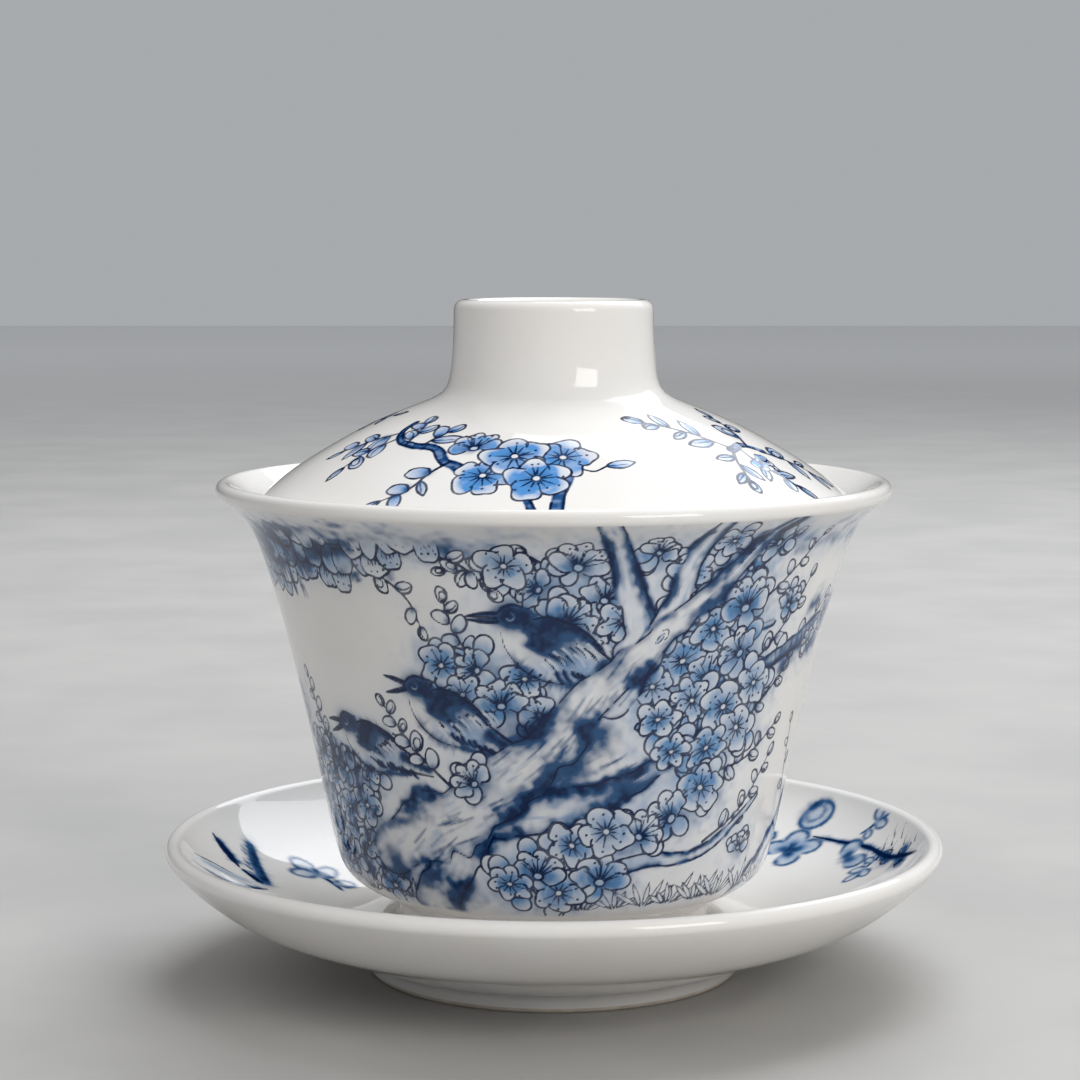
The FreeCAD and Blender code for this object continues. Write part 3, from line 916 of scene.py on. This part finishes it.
def hanging_spray(canvas, degrees, flip):
    """A branch end that hangs from under the lip: rows of overlapping petals and two thin twigs."""
    region = Region(canvas, degrees, flip)
    for _ in range(90):  # shade behind the petals
        b = region.on(uniform(-16, 40), uniform(66, 72.5))
        b.smear([(0, 0), (0.6 * flip, -1.8)], 0.7, 0.4, ragged=1.0)
    twigs(region, (4, 1.5, (32, 67), (38, 65), (42, 62), (43.5, 58.5)),
          (3, 1.5, (47, 69.5), (53, 68), (58, 64.5)))
    # Scallops darken towards the spray's start, which on the front spray is the bowl's left edge: partly the
    # painting's own tone, partly painted shade under the lip.
    for row, start, end in ((3, -14, 6), (2, -24, 30), (1, -34, 42), (0, -42, 50)):
        for x in np.arange(start, end, 3.9):
            b = region.on(x + uniform(-1, 1), 70.8 - 2.5 * row + uniform(-0.9, 0.7))
            scallop(b, uniform(0.25, 0.7) + 0.25 * ease((12 - x) / 20))
    for x in np.arange(-44, 54, 2.0):  # the tops are lost in a blur
        b = region.on(x, uniform(71.6, 73.2))
        where, lx, ly = b.near(0, 0, 5.2)
        b.cover(where, np.exp(-(lx / 2.6) ** 2 - (ly / 1.5) ** 2), 0.12)
        b.blot(0, uniform(-0.6, 0.2), uniform(0.8, 2.2), 0.9, uniform(0.1, 0.75), rough=1.0)
    for _ in range(60):  # pools of cobalt over the petals, strong enough to be partly painted shade under the lip
        b = region.on(uniform(-22, 30), uniform(65.5, 72))
        b.blot(0, 0, uniform(0.9, 2.4), uniform(0.5, 1.2), uniform(0.3, 0.75), rough=1.0)
    for _ in range(110):  # dark hairs of cobalt where the spray turns away, partly painted shade at that edge
        b = region.on(uniform(-15, 16), uniform(63, 72.5))
        b.smear([(0, 0), (0.5 * flip, -2.4)], 0.34, uniform(0.3, 0.95), tail=0.12)


def blossoming(region, radius, count, spread, *points):
    """Blossoms crowded along a path of (degrees, height) points."""
    spots = []
    for n in range(count):
        share = (n + RANDOM.random()) / count * (len(points) - 1)
        degrees, height = (np.interp(share, range(len(points)), values) for values in zip(*points))
        spots.append((degrees + 1.3 * uniform(-spread, spread), height + uniform(-spread, spread)))
    heap(region, radius, *spots)


def bowl_back(region):
    twigs(region, (6, 1.3, (82, 59), (93, 62), (101, 66)), (6, 1.3, (96, 46), (88, 52), (83, 57)),
          (7, 1.3, (118, 52), (126, 60), (136, 64)), (6, 1.3, (150, 42), (160, 48), (168, 55)),
          (7, 1.3, (166, 34), (178, 38), (188, 44)), (6, 1.3, (116, 37), (130, 29), (144, 26)),
          (6, 1.3, (-100, 42), (-92, 49), (-86, 55)), (7, 1.3, (-120, 42), (-118, 50), (-110, 57)),
          (6, 1.3, (-148, 48), (-158, 46), (-168, 49)), (6, 1.3, (-150, 28), (-164, 26), (-174, 29)),
          (6, 1.3, (-96, 32), (-104, 27), (-114, 25)), (5, 1.2, (79, 24), (72, 32), (68, 41)))
    grass(region, 70, 78, 92, 101, 108, 121, 133, 147, 160, 172, 186, 198, 204, 216, 229, 238, 252, 262,
          270, 283)
    blossoming(region, 3.4, 8, 3.6, (92, 40), (100, 48), (104, 58))
    blossoming(region, 3.3, 6, 3.2, (124, 44), (140, 44), (150, 42))
    blossoming(region, 3.4, 8, 3.8, (-96, 44), (-112, 46), (-122, 44))
    blossoming(region, 3.2, 6, 3.0, (-138, 50), (-146, 56), (-158, 58))
    limb = dict(core=0.06, dark=0.95, soft=0.9)
    bough(region, (3.4, 2.6, 1.6, 0.5), (-120, 38), (-136, 31), (-150, 28), (-162, 27), soft=0.6)
    bough(region, (2.6, 2.0, 1.4, 0.5), (-112, 38), (-124, 45), (-130, 53), (-132, 60))
    bough(region, (5.4, 5.0, 4.4, 3.6, 2.4, 1.2), (-66, 28), (-90, 37), (-116, 38), (-140, 45), (-158, 57),
          (-166, 70), **limb)
    bough(region, (3.2, 2.6, 1.6, 0.4), (94, 34), (92, 46), (100, 57), (102, 66), soft=0.6)
    bough(region, (4.2, 3.4, 2.6, 1.6, 0.5), (104, 36), (124, 38), (146, 39), (166, 34), (180, 33), **limb)
    bough(region, (9.0, 7.4, 6.2, 4.8, 3.6, 2.2, 1.4), (64, 15), (76, 22), (92, 31), (108, 40), (120, 51),
          (129, 62), (136, 73), **limb)
    for hollow in ((72, 19, 35), (84, 27, 35), (98, 35, 35), (110, 42, 45), (-84, 35, 20), (-104, 38, 0)):
        brush_hairs(region, *hollow, count=9, below=2.4, longest=5.0)
    blossoming(region, 3.6, 7, 3.0, (84, 22), (100, 28), (114, 33))
    blossoming(region, 3.3, 5, 2.6, (126, 54), (138, 62))
    blossoming(region, 3.2, 5, 2.4, (150, 36), (168, 33))
    blossoming(region, 3.4, 7, 2.8, (-92, 30), (-108, 31), (-124, 33))
    blossoming(region, 3.2, 5, 2.6, (-142, 38), (-150, 30))
    blossoming(region, 3.1, 4, 2.0, (-78, 42), (-84, 46))
    bird(region.on(141, 50.5, 2), gape=0.1)
    bird(region.on(-163, 42, -4, 0.85, flip=-1), gape=0.6)
    hanging_spray(region.canvas, -128, -1)
    hanging_spray(region.canvas, 178, -1)


def paint_bowl(canvas):
    region = Region(canvas)
    smudges(region)
    bowl_back(region)
    bowl_front(region)
    canvas.bleed(BOWL_BLEED)


# ---- the lid's painting ----

LID_TONE = (0.16, 0.95, 0.55)


def lid_spray(region):
    """Five crowded blossoms, a knotted branch with leaves on one side and two cut stems below."""
    for widths, *points in (((1.5, 1.2, 1.0), (-9, 36), (-7, 39.5), (-4, 43.5)),
                            ((1.6, 1.5), (3, 37), (1, 40), (0, 43.8)),
                            ((1.7, 1.4, 1.2, 1.0, 0.8), (-20, 36), (-27, 34.5), (-33, 31.5), (-44, 31),
                             (-52, 28.5), (-53, 25.5))):
        bough(region, widths, *points, core=0.6, dark=1.0, soft=0.42, knots=0.35, outline=0.42, streak=0.8,
              fill=0.5)
    twigs(region, (5, 1.75, (-26, 34.5), (-29, 37), (-31, 40), (-36, 42.5)),
          (4, 1.75, (-44, 31), (-45, 28), (-47, 25.5)), (3, 1.75, (-38, 31), (-36, 29), (-34, 27.5)),
          (5, 1.75, (-52, 28.5), (-60, 31), (-66, 34)), (4, 1.75, (-50, 30), (-55, 33.5), (-56, 37)),
          tone=0.6, outline=0.40, width=0.6, leaves=0.4)
    b, path = region.along([(6, 35.5), (9, 36), (12, 35)])
    b.stroke(path, 0.4, 0.34)
    x, y, angle = partway(path, 1.0)
    pointed_leaf(b.at(x, y, angle - 90 - 25 * region.flip), 4.6, 1.8, 0.7, 0.36)
    b = region.on(-22, 30.0, uniform(-15, 15))
    half_blossom(b.at(0, -1.4, 8), 3.9 * 1.15, LID_TONE, 0.38)
    for degrees, radius, size in ((-16, 37.0, 4.8), (2, 33.0, 4.8), (-10, 32.8, 5.0), (-4, 37.4, 5.1)):
        blossom(region.on(degrees, radius, uniform(-15, 15)), size, 0.96, LID_TONE, 0.38)


def lid_sprig(region):
    """Thin bare sprigs of buds about a short broken branch."""
    bough(region, (1.3, 1.1, 0.8), (4, 33), (11, 32), (18, 34), core=0.5, dark=1.0, soft=0.4, outline=0.42,
          fill=0.5)
    twigs(region, (6, 1.8, (6, 33), (-4, 28), (-16, 24.5)), (4, 1.8, (4, 33), (0, 36), (-2, 39.5)),
          (5, 1.8, (8, 33), (8, 37), (12, 41)), (4, 1.8, (14, 32), (20, 28), (24, 25)),
          (5, 1.8, (16, 34), (24, 37), (30, 41)), tone=0.7, outline=0.48, width=0.72, leaves=0.6)
    half_blossom(region.on(9, 35.5, 200), 3.2, LID_TONE, 0.34)


def paint_lid(canvas):
    lid_spray(Region(canvas, 0))
    lid_sprig(Region(canvas, 48))
    lid_spray(Region(canvas, 142, -1))
    lid_sprig(Region(canvas, -96, -1))
    lid_sprig(Region(canvas, -158))


# ---- the saucer's painting ----


def soft_petals(b, radius, count=5, apart=72):
    """Petals laid in with a full brush: pale middles, blurred cobalt rims, a dark heart."""
    middle, wide = 0.60 * radius, 0.43 * radius
    for n in range(count):
        lobe = b.at(0, 0, apart * n - 90 + uniform(-8, 8))
        lobe.oval(0, middle, wide, wide * 1.1, outline=0,
                  tone=lambda x, y: np.clip(0.25 + 0.6 * (1 - y / (1.2 * radius)), 0, 1))
        lobe.blot(0, 0.22 * radius, 0.20 * radius, 0.30 * radius, 0.85)
        lobe.smear([(-wide * 0.9, middle * 0.7), (-wide * 0.75, middle + wide * 0.6),
                    (0, middle + wide * 1.05), (wide * 0.75, middle + wide * 0.6),
                    (wide * 0.9, middle * 0.7)], 0.5, 0.62, ragged=0.5)


def loop_sprig(b):
    """A short stem with looped leaves, their rims laid in softly."""
    b.smear([(0, 1.0), (0.3, -2.0), (-0.2, -4.6)], 0.5, 0.95, tail=0.3)
    for x, y, lean, long in ((0, 0.8, 0, 4.4), (0.2, 0.2, 62, 4.0), (-0.2, -0.4, -66, 4.2),
                             (0.3, -2.4, -105, 3.2)):
        leaf_base = b.at(x, y, lean)
        wide = 0.30 * long
        leaf_base.oval(0, long / 2, wide, long / 2, lambda p, q: np.clip(0.75 - 0.6 * q / long, 0, 1), 0)
        leaf_base.smear([(0, 0), (-wide, 0.45 * long), (-0.5 * wide, 0.92 * long), (0.5 * wide, 0.92 * long),
                         (wide, 0.45 * long), (0, 0)], 0.42, 0.6, ragged=0.5)


def saucer_branch(region, *points):
    """A bare branch laid in with a full brush."""
    b, path = region.along(points)
    b.smear(path, 0.8, 0.9, tail=0.5, ragged=0.6)
    b.stroke(path, 0.95, 0.7, 0.4)


def saucer_spray(region, branch, flowers, sprigs, size):
    """A branch with flowers (degrees, radius, turn, petal radius) and sprigs (degrees, radius, turn)."""
    saucer_branch(region, *branch)
    for *place, petal_radius in flowers:
        soft_petals(region.on(*place), petal_radius)
    for place in sprigs:
        loop_sprig(region.on(*place, size))


def curled_tip(b):
    """The gnarled end of a branch: tight curls and short hairs."""
    for n in range(5):
        x, y, lean = 1.5 * n - 3.0, uniform(-1.2, 1.2), uniform(-50, 50)
        curl = [(x + 0.9 * math.cos(a + lean), y + 0.9 * math.sin(a + lean)) for a in np.linspace(0, 4.4, 8)]
        b.stroke(curl, 0.5, 0.42, 0.3)
        b.blot(x, y, 1.0, 0.8, 0.75, rough=0.8)
    for _ in range(12):
        x, y = uniform(-4, 5), uniform(-2.4, 1.6)
        b.stroke([(x, y), (x + 1.0, y - 0.9), (x + 1.6, y - 2.0)], 0.36, 0.22, 0.12)


def tail_feathers(root):
    """Feathers fanned out from one root: a blue one, a dark one and a broad pale one with drawn edges."""
    pale = root.at(0, 0, 208)
    pale.oval(0, 8.5, 3.0, 8.0, 0.12, 0)
    pale.smear([(0.4, 2.5), (1.2, 8.0), (0.8, 13.5)], 0.9, 0.5, layer="wash")
    pale.smear([(-0.8, 1.0), (-2.6, 7.0), (-2.0, 14.0)], 0.7, 0.7, ragged=0.6)
    pale.stroke([(-1.0, 0.8), (-3.1, 7.0), (-2.5, 13.0), (-1.6, 16.0)], 0.4, 0.7, 0.4)
    pale.stroke([(1.9, 6.0), (2.7, 9.5), (1.9, 14.0)], 0.3, 0.5, 0.3)
    dark = root.at(0, 0, 150)
    dark.smear([(0.0, 7.5), (0.4, 10.5), (0.0, 14.5)], 1.3, 1.0, tail=0.9, ragged=0.6)
    dark.stroke([(-0.2, 7.0), (0.1, 10.5), (-0.4, 14.8)], 0.7, 2.2, 0.6)
    dark.smear([(0.0, 1.5), (0.2, 4.0), (0.0, 6.5)], 0.8, 1.0, tail=0.6, ragged=0.6)
    dark.stroke([(0.0, 1.5), (0.2, 4.0), (0.0, 6.2)], 0.4, 1.4, 0.5)
    blue = root.at(0, 0, 124)
    blue.smear([(0, 0.2), (0.5, 8), (0, 17)], 1.25, 0.85, tail=1.1, ragged=0.6)
    blue.smear([(0.6, 1.5), (1.2, 8), (0.6, 15)], 0.5, 0.8, tail=0.4)
    for _ in range(12):  # barbs along the blue one
        start = uniform(2, 15.5)
        blue.smear([(-0.6, start), (-1.7, start + 1.5)], 0.3, 0.5, tail=0.12)


def round_bud(b, size):
    """A round bud of two petals, one inside the other, with soft dark rims."""
    b.oval(0, 0, size, 0.88 * size, 0.5, 0)
    for share, dark in ((0.92, 0.7), (0.52, 0.45)):
        ring = [(share * size * math.cos(a), share * 0.88 * size * math.sin(a) - (1 - share) * 0.5 * size)
                for a in np.linspace(-1.4, 5.0, 12)]
        b.smear(ring, 0.5, dark, ragged=0.6)
    b.blot(0, -0.8 * size, 0.5 * size, 0.3 * size, 0.7)


def paint_saucer(canvas):
    region = Region(canvas)
    saucer_branch(region, (86, 56), (95, 53), (105, 52.4), (114, 51.4), (122, 50.8))
    curled_tip(region.on(92.5, 54, 10, 1.45))
    soft_petals(region.on(123.5, 46.8, 130), 5.2, 4, apart=80)
    soft_petals(region.on(107, 49.2, 190), 4.8, 2, apart=120)
    soft_petals(region.on(135, 49, 40), 3.6, 2, apart=120)
    round_bud(region.on(125.5, 54.2, 60), 3.5)
    loop_sprig(region.on(110, 56, 160, 0.82))
    loop_sprig(region.on(97, 49.5, 20, 0.82))
    tail_feathers(region.on(-93, 44.5))
    loop_sprig(region.on(-113, 41.0, 165, 1.25))
    saucer_spray(region, ((-140, 56), (-150, 50), (-163, 47), (-176, 49), (-188, 46)),
                 ((-152, 46, 10, 4.8), (-166, 51, 80, 5.0), (-178, 45, 30, 4.2)),
                 ((-160, 43, 40), (-172, 54, 170), (-186, 50, 100)), 0.85)
    saucer_spray(region, ((-48, 55), (-34, 50), (-20, 48), (-8, 51)),
                 ((-34, 46, 10, 4.8), (-21, 52, 60, 4.4), (-8, 47, 20, 4.0)),
                 ((-44, 48.5, 30), (-14, 45, 200), (-1, 52, 280)), 0.85)
    saucer_spray(region, ((58, 55), (44, 50), (30, 49)), ((44, 46, 20, 4.6), (31, 52, 90, 4.0)),
                 ((53, 47, 40),), 0.9)


# ---- looks ----


class Nodes:
    """Short calls for building a node tree."""

    def __init__(self, material):
        material.use_nodes = True
        self.tree = material.node_tree
        self.shader = self.tree.nodes["Principled BSDF"]

    def new(self, kind, **settings):
        node = self.tree.nodes.new(kind)
        for name, value in settings.items():
            setattr(node, name, value)
        return node

    def link(self, source, target):
        self.tree.links.new(source, target)

    def place(self):
        return self.new("ShaderNodeTexCoord").outputs["Object"]

    def layer(self, name):
        return self.new("ShaderNodeAttribute", attribute_name=name).outputs["Fac"]

    def noise(self, size, detail=3.0):
        """Noise with features of about size metres."""
        node = self.new("ShaderNodeTexNoise")
        node.inputs["Scale"].default_value = 1 / size
        node.inputs["Detail"].default_value = detail
        node.inputs["Roughness"].default_value = 0.55
        self.link(self.place(), node.inputs["Vector"])
        return node.outputs["Fac"]

    def ramp(self, value, low, high, to_low=0.0, to_high=1.0, smooth=True):
        node = self.new("ShaderNodeMapRange", interpolation_type="SMOOTHSTEP" if smooth else "LINEAR")
        for name, number in (("From Min", low), ("From Max", high), ("To Min", to_low), ("To Max", to_high)):
            node.inputs[name].default_value = number
        self.link(value, node.inputs["Value"])
        return node.outputs["Result"]

    def maths(self, operation, a, b):
        node = self.new("ShaderNodeMath", operation=operation, use_clamp=True)
        self.link(a, node.inputs[0])
        self.link(b, node.inputs[1])
        return node.outputs[0]

    def mix(self, amount, low, high):
        """Blends two colours, each a socket or a linear RGB triple."""
        node = self.new("ShaderNodeMix", data_type="RGBA")
        self.link(amount, node.inputs[0])
        for socket, value in ((node.inputs[6], low), (node.inputs[7], high)):
            if isinstance(value, tuple):
                socket.default_value = (*value, 1.0)
            else:
                self.link(value, socket)
        return node.outputs[2]

    def bump(self, height, distance, under=None):
        node = self.new("ShaderNodeBump")
        node.inputs["Distance"].default_value = distance
        self.link(height, node.inputs["Height"])
        if under is not None:
            self.link(under, node.inputs["Normal"])
        return node.outputs["Normal"]


WHITE = (0.80, 0.785, 0.765)
WHITE_WARM = (0.785, 0.76, 0.73)
BOWL_BLUES = (0.105, 0.25, 0.47), (0.022, 0.078, 0.19)       # full wash, deep cobalt
LID_BLUES = (0.085, 0.27, 0.60), (0.020, 0.078, 0.22)
SAUCER_BLUES = (0.10, 0.26, 0.47), (0.035, 0.11, 0.25)
COBALT_DARK = (0.002, 0.012, 0.055)
COBALT_INK = (0.001, 0.008, 0.045)


def porcelain(name, wash, deep):
    """White glazed porcelain with cobalt under the glaze, pooled and bleeding a little."""
    n = Nodes(bpy.data.materials.new(name))
    body = n.mix(n.ramp(n.noise(0.022), 0.35, 0.65), WHITE, WHITE_WARM)
    pool = n.ramp(n.noise(0.0016, 4.0), 0.25, 0.75, 0.86, 1.14)
    blots = n.ramp(n.noise(0.0050, 2.0), 0.3, 0.7, 0.85, 1.15)
    washed = n.maths("MULTIPLY", n.maths("MULTIPLY", n.layer("wash"), pool), blots)
    colour = n.mix(washed, body, wash)
    soaked = n.maths("MULTIPLY", n.layer("deep"), pool)
    colour = n.mix(n.ramp(soaked, 0.0, 0.62, smooth=False), colour, deep)
    colour = n.mix(n.ramp(soaked, 0.60, 1.08), colour, COBALT_DARK)
    fine = n.ramp(n.noise(0.0007, 3.0), 0.3, 0.7, -0.07, 0.07)
    drawn = n.ramp(n.maths("ADD", n.layer("line"), fine), 0.30, 0.72)
    strength = n.ramp(n.noise(0.0028, 3.0), 0.25, 0.75, 0.80, 1.0)
    colour = n.mix(n.maths("MULTIPLY", drawn, strength), colour, COBALT_INK)
    n.link(colour, n.shader.inputs["Base Color"])
    n.link(n.ramp(n.noise(0.004, 4.0), 0.3, 0.7, 0.16, 0.24), n.shader.inputs["Roughness"])
    n.shader.inputs["IOR"].default_value = 1.5
    n.shader.inputs["Specular IOR Level"].default_value = 0.0
    n.shader.inputs["Coat Weight"].default_value = 1.0
    n.shader.inputs["Coat Roughness"].default_value = 0.03
    n.shader.inputs["Coat IOR"].default_value = 1.42
    waves = n.bump(n.noise(0.016, 1.0), 0.00010)
    skin = n.bump(n.noise(0.0012, 2.0), 0.0000035, under=waves)
    n.link(skin, n.shader.inputs["Normal"])
    n.link(skin, n.shader.inputs["Coat Normal"])
    return bpy.data.materials[name]


def biscuit(name):
    """The bare fired clay of a standing face, dry and slightly stained."""
    n = Nodes(bpy.data.materials.new(name))
    clay = n.mix(n.ramp(n.noise(0.003, 4.0), 0.35, 0.65), (0.66, 0.60, 0.52), (0.56, 0.49, 0.41))
    specks = n.ramp(n.noise(0.0006, 2.0), 0.68, 0.76, 0.0, 0.55)
    n.link(n.mix(specks, clay, (0.28, 0.22, 0.17)), n.shader.inputs["Base Color"])
    n.link(n.ramp(n.noise(0.001), 0.3, 0.7, 0.55, 0.75), n.shader.inputs["Roughness"])
    n.link(n.bump(n.noise(0.0004, 4.0), 0.00004), n.shader.inputs["Normal"])
    return bpy.data.materials[name]


def table_top():
    n = Nodes(bpy.data.materials.new("plain_table"))
    near = n.mix(n.ramp(n.noise(0.05, 3.0), 0.3, 0.7), (0.41, 0.402, 0.39), (0.45, 0.44, 0.425))
    away = n.new("ShaderNodeVectorMath", operation="LENGTH")
    n.link(n.place(), away.inputs[0])
    # The floor is painted paler away from the pieces: painted light that blends it into the backdrop at the
    # horizon.
    painted_far_light = n.ramp(away.outputs["Value"], 0.8, 2.4)
    n.link(n.mix(painted_far_light, near, (0.94, 0.94, 0.94)), n.shader.inputs["Base Color"])
    n.shader.inputs["Roughness"].default_value = 0.6
    n.shader.inputs["Specular IOR Level"].default_value = 0.06
    return bpy.data.materials["plain_table"]


# ---- scene ----

COOL = (0.94, 0.97, 1.0)         # colours of the lights
WARM = (1.0, 0.98, 0.95)
WARMEST = (1.0, 0.97, 0.94)
SKY, SKY_STRENGTH = (0.93, 0.96, 1.0, 1.0), 0.42
TABLE_HALF = 3.0                 # half the table's width, in metres
EYE = (-0.0021, -0.4383, 0.1142)
EYE_DIP = 0.1078                 # how far the camera looks down, in radians
SENSOR, LENS = 36.0, 95.5        # in millimetres


def softbox(name, azimuth, elevation, distance, size, power, colour, mirrored=True):
    """A rectangular light aimed at the bowl. Azimuth is in degrees from the back (+Y) towards the right.

    A light that is not mirrored lights the piece without showing as a reflection in the glaze.
    """
    aim = Vector((0, 0, 0.06))
    turn, rise = math.radians(azimuth), math.radians(elevation)
    away = Vector((math.sin(turn) * math.cos(rise), math.cos(turn) * math.cos(rise), math.sin(rise)))
    data = bpy.data.lights.new(name, "AREA")
    data.shape, data.size, data.size_y = "RECTANGLE", *size
    data.energy, data.color = power, colour
    light = bpy.data.objects.new(name, data)
    bpy.context.scene.collection.objects.link(light)
    light.location = aim + distance * away
    light.rotation_euler = (-away).to_track_quat("-Z", "Y").to_euler()
    light.visible_glossy = mirrored


def studio():
    world = bpy.data.worlds.new("studio")
    world.use_nodes = True
    background = world.node_tree.nodes["Background"]
    background.inputs["Color"].default_value = SKY
    background.inputs["Strength"].default_value = SKY_STRENGTH
    world.cycles_visibility.glossy = False  # the glaze mirrors only the windows, as in a dark room
    bpy.context.scene.world = world
    bpy.context.scene.view_settings.view_transform = "Standard"
    softbox("window_back", 27, 45, 1.1, (0.85, 0.72), 5.6, COOL)
    softbox("window_front", 143, 24, 1.0, (0.42, 0.46), 4.2, WARM)
    softbox("key_back", 20, 66, 1.2, (0.85, 0.85), 9.5, COOL, mirrored=False)
    softbox("key_front", 143, 35, 1.2, (0.7, 0.7), 1.4, WARM, mirrored=False)
    softbox("fill_left", -115, 45, 1.2, (0.9, 0.9), 1.9, WARMEST, mirrored=False)
    mesh = bpy.data.meshes.new("table")
    corners = [(x * TABLE_HALF, y * TABLE_HALF, 0) for x, y in ((-1, -1), (1, -1), (1, 1), (-1, 1))]
    mesh.from_pydata(corners, [], [(0, 1, 2, 3)])
    table = bpy.data.objects.new("table", mesh)
    bpy.context.scene.collection.objects.link(table)
    mesh.materials.append(table_top())


def camera():
    data = bpy.data.cameras.new("camera")
    data.sensor_width, data.lens = SENSOR, LENS
    data.clip_start, data.clip_end = 0.01, 20
    eye = bpy.data.objects.new("camera", data)
    eye.location = EYE
    eye.rotation_euler = (math.pi / 2 - EYE_DIP, 0, 0)
    bpy.context.scene.collection.objects.link(eye)
    bpy.context.scene.camera = eye


def main():
    camera()
    studio()
    bare = biscuit("bare_foot")
    for node, section, paint, blues in (("saucer", saucer_section(), paint_saucer, SAUCER_BLUES),
                                        ("bowl", bowl_section(), paint_bowl, BOWL_BLUES),
                                        ("lid", lid_section(), paint_lid, LID_BLUES)):
        turned = Turned(section, by_height=node == "bowl")
        paint(turned.canvas)
        piece = turned.build("painted_" + node)
        piece.data.materials.append(porcelain("porcelain_" + node, *blues))
        piece.data.materials.append(bare)
        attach(piece, node)
        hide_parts(node)


main()
